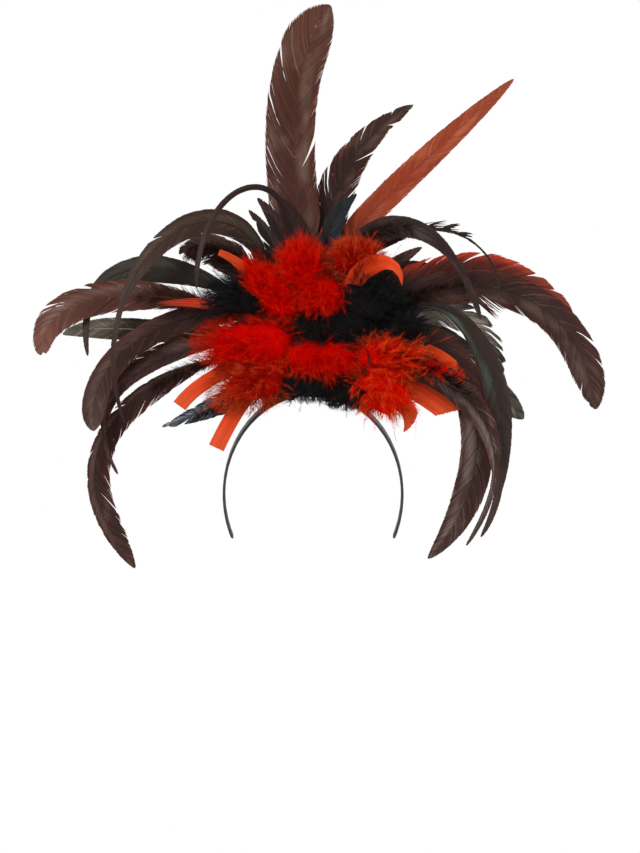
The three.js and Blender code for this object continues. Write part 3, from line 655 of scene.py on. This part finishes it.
def clumpsOf(count, split, tipT, rng):
    # barbs hold together in clumps, each with how far it draws together and its lift
    sizes = []
    while sum(sizes) < count:
        sizes.append(int(rng.integers(*feather["clump"])))
    clump = np.repeat(np.arange(len(sizes)), sizes)[:count]
    ends = np.array([[tipT[clump == c].min(), tipT[clump == c].max()] for c in range(clump[-1] + 1)])
    middle, reach = ends.mean(1), np.maximum(np.ptp(ends, axis=1) / 2, 1e-4)
    draw = 0.004 + split * rng.random(len(ends)) ** 3 * feather["drawn"] * (0.25 + middle)
    lift = rng.normal(0, 0.25 + 0.5 * split, len(ends))
    away = middle[clump] - tipT
    return away * draw[clump], np.abs(away) / reach[clump], draw[clump], lift[clump]


def barbsOf(route, row, side, rng):
    # one side's barbs, from the shaft at rootT to their tips along the vane's edge at tipT
    length, lead = route["length"], row.get("lead", 0.5)
    t = 1 - (1 - np.linspace(0, 1, 1200)) ** 1.6
    half = vaneShape(row, t) * row["width"] * (1 - lead if side > 0 else lead)
    arc = np.concatenate([[0], np.cumsum(np.hypot(np.diff(t) * length, np.diff(half)))])
    start = arc[np.argmax(half > 1)]
    count = int((arc[-1] - start) / feather["spacing"])
    place = start + (np.arange(count) + 0.5 + rng.uniform(-0.25, 0.25, count)) / count * (arc[-1] - start)
    tipT, tipOut = np.interp(place, arc, t), np.interp(place, arc, half)
    reach = np.minimum(np.hypot(feather["steep"] * tipOut, 5), 0.8 * tipT * length)
    rootT = np.maximum(tipT - reach / length, 0.015)
    slide, off, draw, lift = clumpsOf(count, row["split"], tipT, rng)
    for slitSide, slitAt, opening in row.get("slits", ()):
        if slitSide == side:
            apart = (tipT - slitAt) * length
            opened = opening / 2 / length * np.exp(-np.abs(apart) / feather["slitReach"])
            slide = slide + np.sign(apart) * opened
    ragged = 1 + rng.normal(0, 0.012 + 0.02 * row["split"], count)
    short = (1 - np.minimum(draw * 0.5, 0.3) * off ** 2) * ragged
    if "worn" in row:
        short = short * np.where((draw > 0.1) & (tipT < 0.55), 1, 1 - row["worn"])
    q = np.array([0, 0.24, 0.52, 0.86, 1.0])
    stout = np.ones((count, len(q)))
    for spurSide, spurAt, longer, spread in row.get("spurs", ()):
        if spurSide == side:
            point = np.exp(-((tipT - spurAt) * length / spread) ** 2)
            short, stout = short + longer / tipOut.clip(2) * point, stout + point[:, None] * (1 - 1.6 * q)
    rootOut = 0.2 * feather["quill"] * (1 - 0.8 * rootT) - 0.8 * easeIn(tipT, 0.6, 0.85)

    def spineWith(slide, short, lift):
        s = rootT[:, None] + (tipT - rootT)[:, None] * q + slide[:, None] * q ** 2
        out = rootOut[:, None] + (tipOut * short - rootOut)[:, None].clip(0.3) * (1 - (1 - q) ** feather["bow"])
        return s, onVane(route, row, s, side * out, lift[:, None] * q ** 2)

    flat = np.zeros(count)
    _, even = spineWith(flat, flat + 1, flat)
    s, spine = spineWith(slide, short, lift)
    forked = side * row.get("fork", 0) / 2 * easeIn(s, 0.9, 1) * q ** 2
    spine = spine + onRoute(route, "across", s) * forked[..., None]
    across, face = framesOf(spine, onRoute(route, "front", s))
    steps = np.diff(even, axis=0, append=2 * even[-1:] - even[-2:-1])
    toNext = np.abs(np.einsum("ijk,ijk->ij", steps, across))
    wide = np.clip(toNext * feather["lapped"] / 2, *feather["barbHalf"]) * stout
    wide = np.maximum(wide, feather["footHalf"] * (q < 0.1))
    leaning, upright = leant(across, face, feather["tilt"] * side)
    return placeStrands(bladeForm(4), spine, leaning, upright, wide, feather["thick"], s,
                        0.5 + 0.5 * side * (0.02 + 0.98 * q)[None], rng.random(count), wide / length)


def fluffOf(route, row, rng):
    # loose down at the foot of a vane
    length, share = route["length"], row.get("fluff", fluff["share"])
    count = int(fluff["least"] + row.get("fluffs", fluff["number"]) * share * length)
    root = share * rng.random(count) ** 1.4
    side = rng.choice([-1, 1], count)
    hangSide, longer = row.get("hang", (0, 1))
    reach = fluff["length"] * row.get("fluffLong", 1) * np.where(side == hangSide, longer, 1)
    reach = reach * rng.uniform(0.5, 1.1, count) * (1 - 0.4 * root / share)
    opening = rng.normal(fluff["opening"], fluff["spread"], count)
    angle = np.radians(opening + 50 * np.exp(-root * length / 5))  # wide open at the very foot
    sweep = rng.normal(0, fluff["sweep"], count)
    q = np.array([0, 0.5, 1.0])
    s = root[:, None] + (reach * np.cos(angle))[:, None] * q / length
    out = side[:, None] * (reach * np.sin(angle))[:, None] * (q - 0.18 * q ** 2)
    lift = ((reach * sweep + row.get("forward", 0))[:, None] + rng.normal(0, fluff["stray"], (count, 3))) * q
    spine = onVane(route, row, s, out, lift)
    sideway, face = framesOf(spine, frontWay)
    half = row.get("fluffHalf", fluff["half"])
    return placeStrands(strandForm(3, 2), spine, sideway, face, half, half, s,
                        0.5 + 0.4 * side[:, None] * q, rng.random(count), 0.002)


def shaftOf(route, half, rise, slot):
    t = np.linspace(0, 0.985, 37)
    taper = 1 - 0.85 * t ** 0.8
    spine, across, front = (onRoute(route, name, t)[None] for name in ("middle", "across", "front"))
    return placeStrands(strandForm(6, len(t) - 1), spine, across, front, half * taper, rise * taper,
                        t[None], 0.5, 0.5, 0.006, slot)


def makeFeather(name, row, seed):
    rng = np.random.default_rng(seed)
    route, finish = routeOf(rimRoot(row), row), row["finish"]
    groups = [barbsOf(route, row, side, rng) for side in (-1, 1)]
    groups.append(shaftOf(route, feather["quill"] * 0.6, feather["shaft"] * 0.55, 1))
    groups.append(fluffOf(route, row, rng))
    makePiece("feather_" + name, groups, [vaneMaterials[finish], shaftMaterials[finish]], "coque_" + name)


for seed, (name, row) in enumerate(feathers.items(), 100):
    makeFeather(name, row, seed)
print("feathers")

# Trimmed strips and a bare quill. root (x, z) is on the front of the base, cut the width left at the end,
# ragged how much shorter some fibres are, and slant how much shorter one side is, by its sign.
strips = tabled("finish root leave tip arrive depth width fade cut", {
    "strip_left_upper": ("strip", (-34, 30), (190, 20), (-105, -10), (-125, 25), (-12, -12, -13), 11, 0.9, 1),
    "strip_left_lower": ("strip", (-30, 16), (200, 20), (-76, -43), (-115, 25), (-12, -12, -13), 12, 0.9, 1),
    "strip_left_tip": ("strip", (-20, 54), (125, 30), (-74, 111), (160, 25), (-11, -11, -12), 9, 0.6, 0.5),
    "strip_left_back": ("ragged", (-30, 50), (120, 25), (-125, 70), (185, 30), (-11, -11, -12), 12, 0.35, 0.25,
        dict(ragged=0.5)),
    "strip_right_lower": ("strip", (26, 6), (0, 30), (77, -32), (-105, 25), (-12, -12, -13), 12, 0.9, 1,
        dict(slant=0.2)),
    "strip_right_cut": ("strip", (34, 18), (0, 30), (114, -19), (-40, 30), (-8.4, -9, -12), 19, 0.9, 1,
        dict(slant=-0.16)),
    "strip_right_curl": ("strip", (36, 36), (10, 40), (118, 9), (-55, 25), (-8.4, -9, -11), 14, 0.8, 1,
        dict(slant=0.16)),
    "strip_top_curl": ("strip", (24, 62), (85, 45), (69, 83), (-90, 30), (-30, -48, -50), 15, 0.6, 0.05),
    "strip_black": ("black", (38, 52), (20, 20), (88, 37), (-65, 20), (-10.5, -10.5, -12), 8, 0.6, 0.7),
    "stem_bare": ("black", (40, 40), (-70, 20), (36, 5), (-110, 18), (-42, -42, -38), 2.4, 0.9, 1),
})
strip = dict(fibres=30, per=14, rings=12, thick=0.14, lapped=2.1, tilt=8, bunched=0.22, drift=0.008)


def frontRoot(row):
    return np.array([row["root"][0], -footing["thickness"] / 2 - footing["gap"] - 0.7, row["root"][1]])


def makeStrip(name, row, seed):
    rng = np.random.default_rng(seed)
    route, cut, finish = routeOf(frontRoot(row), row), row["cut"], row["finish"]
    ragged, slant = row.get("ragged", 0), row.get("slant", 0)
    count = max(8, int(strip["fibres"] * row["width"] / strip["per"]))
    place = np.linspace(-1, 1, count)[:, None] * (1 - 1 / count)
    t = np.linspace(0, 1, strip["rings"] + 1)[None]
    past = np.clip((t - row["fade"]) / (1 - row["fade"]), 0, 1)
    half = row["width"] / 2 * np.minimum(1, 0.25 + 2 * t) * (cut + (1 - cut) * (1 - past))
    bunch = np.cumsum(rng.random(count) < strip["bunched"])
    together, alone = rng.normal(0, strip["drift"], bunch[-1] + 1), rng.normal(0, strip["drift"], (count, 1))
    out = half * (place + (together[bunch][:, None] + alone) * (1 + 30 * ragged) * t ** 2)
    t = t * (1 - abs(slant) * (0.5 + 0.5 * np.sign(slant) * place))
    s = np.minimum(t * (1 - ragged * rng.random((count, 1)) ** 2 + rng.normal(0, 0.004, (count, 1))), 1)
    face = onRoute(route, "front", s)
    spine = (onRoute(route, "middle", s) + onRoute(route, "across", s) * out[..., None]
             + face * (rng.normal(0, 0.12, (count, 1)) * t)[..., None])
    across, _ = framesOf(spine, face)
    leaning, upright = leant(across, face, strip["tilt"])
    wide = half / count * strip["lapped"] + 0.05
    fibres = placeStrands(bladeForm(strip["rings"], cut < 0.3), spine, leaning, upright, wide,
                          strip["thick"], s, 0.5 + 0.5 * place, rng.random(count), 0.002)
    makePiece(name.replace("strip", "trim"), [fibres], [vaneMaterials[finish]], name)


def makeStem(name, row):
    stem = shaftOf(routeOf(frontRoot(row), row), row["width"] / 2, row["width"] / 2, 0)
    makePiece("quill_bare", [stem], [shaftMaterials[row["finish"]]], name)


for seed, (name, row) in enumerate(strips.items(), 200):
    if name == "stem_bare":
        makeStem(name, row)
    else:
        makeStrip(name, row, seed)
print("strips")

# Down tufts. at is the middle, size the half sizes, turned by roll; locks fan out about the angle lean, and
# reach is how far wisps go. full is the share of the usual number of strands, beyond how much of a strand's way
# past the outline it keeps, and spill how far out the fill at the back lies.
tufts = tabled("finish at size lean reach", {
    "red_top_left": ("redDown", (-9, -32, 98), (19, 16, 21), 100, 1.3, dict(spill=1.3)),
    "red_upper_left": ("redDown", (-32, -31, 80), (33, 15, 16), 130, 1.1, dict(roll=-48, beyond=0.5)),
    "red_top_middle": ("redDown", (5, -31, 77), (22, 16, 17), 230, 1.1, dict(beyond=0.5)),
    "red_top_right": ("amberDown", (33, -34, 104), (22, 17, 17), 75, 1.3, dict(beyond=0.6, spill=1.3)),
    "red_left": ("redDown", (-47, -30, 38), (39, 17, 21), 188, 1.2, dict(spill=1.4)),
    "red_lower_left": ("amberDown", (-44, -29, 9), (32, 16, 17), 190, 1.5, dict(roll=18, spill=1.5)),
    "red_middle": ("redDown", (6, -28, 28), (36, 16, 15), -80, 1.3),
    "red_right": ("flameDown", (58, -30, 27), (30, 17, 20), 5, 1.4),
    "red_lower_right": ("flameDown", (53, -29, 1), (29, 16, 19), -100, 1.35, dict(roll=-20, full=0.8)),
    "red_far_right": ("flameDown", (95, -26, 20), (27, 12, 13), -15, 1.0, dict(roll=-15, full=0.2,
        beyond=0.25)),
    "black_left": ("blackDown", (-56, -25, 75), (27, 13, 17), 165, 1.4, dict(full=0.75, spill=1.35)),
    "black_right": ("blackDown", (43, -26, 76), (29, 15, 25), 40, 1.3, dict(full=0.75)),
    "black_middle": ("blackDown", (12, -21, 53), (38, 15, 17), -90, 1.2, dict(full=0.75)),
    "black_far_right": ("blackDown", (71, -23, 51), (18, 11, 13), 0, 1.4, dict(full=0.75)),
    "black_lower_left": ("blackDown", (-6, -17, 7), (27, 11, 14), -95, 1.1, dict(full=0.7, beyond=0.4)),
    "black_lower_right": ("blackDown", (30, -19, -1), (26, 11, 12), -75, 1.1, dict(full=0.7, beyond=0.4)),
})
down = dict(locks=150, under=0.33, past=8, beyond=0.8, spill=1.12, behind=-13.8, overBase=-6.3, core=0.84,
            coreDepth=4, coreRough=0.09,
            barbs=dict(number=12, length=13, opening=(3, 28), half=0.1, stations=(0, 0.5, 1)),
            fuzz=dict(number=29, length=6.5, opening=(12, 60), half=0.1, stations=(0, 1)),
            fill=dict(density=1.7, length=11, half=0.42))


def rolled(row):
    roll = math.radians(row.get("roll", 0))
    return np.array([[math.cos(roll), 0, math.sin(roll)], [0, 1, 0], [-math.sin(roll), 0, math.cos(roll)]])


def edgeOf(row, angle):
    # how far the tuft's outline lies from its middle
    angle = angle - math.radians(row.get("roll", 0))
    return 1 / np.hypot(np.cos(angle) / row["size"][0], np.sin(angle) / row["size"][2])


def strandsOf(row, rng):
    # locks like small plumes: each a bent line from inside the tuft, with fine barbs along it
    full, spill, turned = row.get("full", 1), row.get("spill", down["spill"]), rolled(row)
    at, size, leanWay = np.array(row["at"]), np.array(row["size"]), flatWay(row["lean"])
    locks = int(down["locks"] * full)
    under = rng.random((locks, 1)) < down["under"]  # locks that lie flat behind the others and fill the gaps
    start = unit(rng.normal(0, 1, (locks, 3))) * rng.uniform(0.1, 0.85, (locks, 1))
    start = np.where(under, start * [0.6, 0, 0.6], start)
    outward = unit((start * size) @ turned)
    forward = np.where(rng.random((locks, 1)) < 0.5, 1.1, 0.2) * [0, -1, 0]
    way = outward * 0.6 + leanWay * 0.8 + forward + rng.normal(0, 0.42, (locks, 3))
    way = unit(np.where(under, (outward + leanWay * 0.1 + rng.normal(0, 0.3, (locks, 3))) * [1, 0.05, 1], way))
    o, d = start, way @ turned.T / size
    dd, od, oo = (d * d).sum(1), (o * d).sum(1), (o * o).sum(1)
    reach = (-od + np.sqrt(od * od - dd * (oo - 1))) / dd  # to the outline, and for wisps past it
    angle = np.arctan2(way[:, 2], way[:, 0])
    wisps = (rng.random(locks) < 0.3) * rng.random(locks) * (row["reach"] - 1) * 1.3 * edgeOf(row, angle)
    reach = np.maximum(reach * rng.uniform(0.8, 1.12, locks) + wisps, 8)
    reach = np.where(under[:, 0], reach + down["past"] * rng.uniform(0.2, 1, locks), reach)
    bend = rng.normal(0, 0.3, (locks, 3)) + leanWay * 0.15
    root = at + (start * size) @ turned
    root[:, 1] = np.where(under[:, 0], down["behind"] - 1 - 5 * rng.random(locks), root[:, 1])
    lockShade = rng.random(locks)

    def placed(spine, half, q, shade):
        # strands that run past the tuft's outline lie closer to it, and nothing goes behind the tuft
        away = np.linalg.norm((spine - at) @ turned.T / size, axis=-1)
        beyond = row.get("beyond", down["beyond"])
        closer = np.where(away > 1, 1 + (away - 1) * beyond, away) / np.maximum(away, 0.01)
        spine = at + (spine - at) * closer[..., None]
        aside = (spine[..., 0] - footing["x"]) / footing["halfWidth"]
        above = np.maximum(spine[..., 2] - footing["z"], 0) / footing["rise"]
        limit = np.where(aside ** 2 + above ** 2 < 0.9, down["overBase"], down["behind"])
        limit = limit - 0.3 - rng.random((len(spine), 1)) * 2
        spine[..., 1] = np.minimum(spine[..., 1], limit)
        side, face = framesOf(spine, frontWay)
        fine = (1 - 0.6 * q * q) * half * rng.uniform(0.75, 1.3, (len(spine), 1)) * np.clip(1.8 - away, 0.45, 1)
        form = strandForm(3, len(q) - 1)
        # map x grows with the distance from the tuft's middle, for the painted shade inside and the painted
        # glow at the wisps
        return placeStrands(form, spine, side, face, fine, fine, 0.75 * away, shade[:, None], 0.5)

    def barbsOn(kind):
        number, q = kind["number"], np.array(kind["stations"])
        u = rng.uniform(0, 0.97, (locks, number)) ** np.where(under, 0.6, 1)
        tangent = unit(way[:, None] + bend[:, None] * (2 * u - 0.4)[..., None])
        beside = unit(np.cross(tangent, unit(rng.normal(0, 1, tangent.shape))))
        opening = np.radians(rng.uniform(*kind["opening"], u.shape))[..., None]
        leaving = tangent * np.cos(opening) + beside * np.sin(opening)
        onLock = way[:, None] * u[..., None] + bend[:, None] * (u * u - 0.4 * u)[..., None]
        foot = root[:, None] + onLock * reach[:, None, None]
        long = kind["length"] * (1 - 0.35 * u) * rng.uniform(0.5, 1.2, u.shape)
        long = long * (1 + 0.8 * (rng.random(u.shape) < 0.06))
        run = leaving[:, :, None] * q[:, None] + (tangent - leaving)[:, :, None] * (0.4 * q * q)[:, None]
        spine = (foot[:, :, None] + long[..., None, None] * run).reshape(-1, len(q), 3)
        spine = spine + rng.normal(0, 0.3, spine.shape) * q[:, None]
        shade = 0.5 * np.repeat(lockShade, number) + 0.5 * rng.random(len(spine))
        return placed(spine, kind["half"] * np.where(np.repeat(under, number, axis=0), 1.6, 1), q, shade)

    def filling(fill):
        # short strands that lie flat at the back, over all of the tuft
        # their shades are kept low, so they are darker: painted shade at the back
        count, q = int(fill["density"] * size[0] * size[2] * spill ** 2 * full), np.array([0, 1])
        angle, far = rng.uniform(0, 2 * math.pi, count), spill * rng.random(count) ** 0.6
        circle = np.stack([np.cos(angle), 0 * angle, np.sin(angle)], axis=-1)
        foot = at + (circle * far[:, None] * size) @ turned
        foot[:, 1] = down["behind"] - 1 - 4 * rng.random(count)
        leaving = unit(unit((foot - at) * [1, 0, 1]) + rng.normal(0, 0.4, (count, 3)) * [1, 0.1, 1])
        long = fill["length"] * rng.uniform(0.6, 1.1, (count, 1, 1))
        return placed(foot[:, None] + leaving[:, None] * (q - 0.5)[:, None] * long, fill["half"], q,
                      0.4 * rng.random(count))

    return [barbsOn(down["barbs"]), barbsOn(down["fuzz"]), filling(down["fill"])]


def coreOf(row):
    # a flat rough pad at the back, so that no light comes through the tuft
    # its map gives it the deep colour and the darkest shades: painted shade inside the tuft
    bm = bmesh.new()
    bmesh.ops.create_icosphere(bm, subdivisions=2, radius=1)
    places, triangles = takenFrom(bm)
    rng = np.random.default_rng(5)
    rough = 1 + rng.normal(0, down["coreRough"], (len(places), 1))
    wide, depth = down["core"] * min(1, 0.35 + 0.8 * row.get("full", 1)), down["coreDepth"]
    places = (places * rough * [row["size"][0] * wide, depth, row["size"][2] * wide]) @ rolled(row)
    places += [row["at"][0], down["behind"] - depth - 1, row["at"][2]]
    return solidGroup(places, triangles, rng.random((len(places), 2)) * [0.2, 0.3], 0.5)


for seed, (name, row) in enumerate(tufts.items(), 300):
    groups = strandsOf(row, np.random.default_rng(seed)) + [coreOf(row)]
    makePiece("down_" + name, groups, [downMaterials[row["finish"]]], "marabou_" + name,
              smooth=True)
print("down")


# The stage: a pale floor below the picture and soft light
stage = dict(floorZ=-0.55, floorRadius=1.1, floorColour=(244, 244, 244), world=0.45)
lamps = {
    "key": dict(at=(-1.1, -2.0, 1.5), size=1.2, power=48),
    "fill": dict(at=(1.5, -1.8, 0.4), size=1.4, power=14),
    "back": dict(at=(0.4, 1.8, 1.6), size=1.2, power=12),
}


def makeFloor():
    bm = bmesh.new()
    bmesh.ops.create_circle(bm, cap_ends=True, segments=96, radius=stage["floorRadius"])
    bmesh.ops.translate(bm, verts=bm.verts[:], vec=(0, 0, stage["floorZ"]))
    mesh = bpy.data.meshes.new("floor")
    bm.to_mesh(mesh)
    bm.free()
    floor = newObject("floor", mesh)
    constants = {"Base Color": linear(stage["floorColour"]), "Roughness": 0.9, "Specular IOR Level": 0.2}
    mesh.materials.append(newMaterial("floor", constants)[0])


def makeLight():
    world = bpy.data.worlds.new("studio")
    bpy.context.scene.world = world
    world.use_nodes = True
    tree = world.node_tree
    background = tree.nodes["Background"].inputs
    seen = tree.nodes.new("ShaderNodeLightPath").outputs["Is Camera Ray"]  # a white backdrop, and dimmer light
    background["Color"].default_value = (1, 1, 1, 1)
    tree.links.new(ranged(tree, seen, 0.0, 1.0, stage["world"], 1.0), background["Strength"])
    for name, lamp in lamps.items():
        data = bpy.data.lights.new(name, "AREA")
        data.shape, data.size, data.energy = "DISK", lamp["size"], lamp["power"]
        light = newObject(name, data)
        light.location = lamp["at"]
        aim = light.location.copy()
        aim.z -= 0.05
        light.rotation_euler = aim.to_track_quat("Z", "Y").to_euler()


makeFloor()
makeLight()
bpy.context.scene.view_settings.view_transform = "Standard"
print("stage")
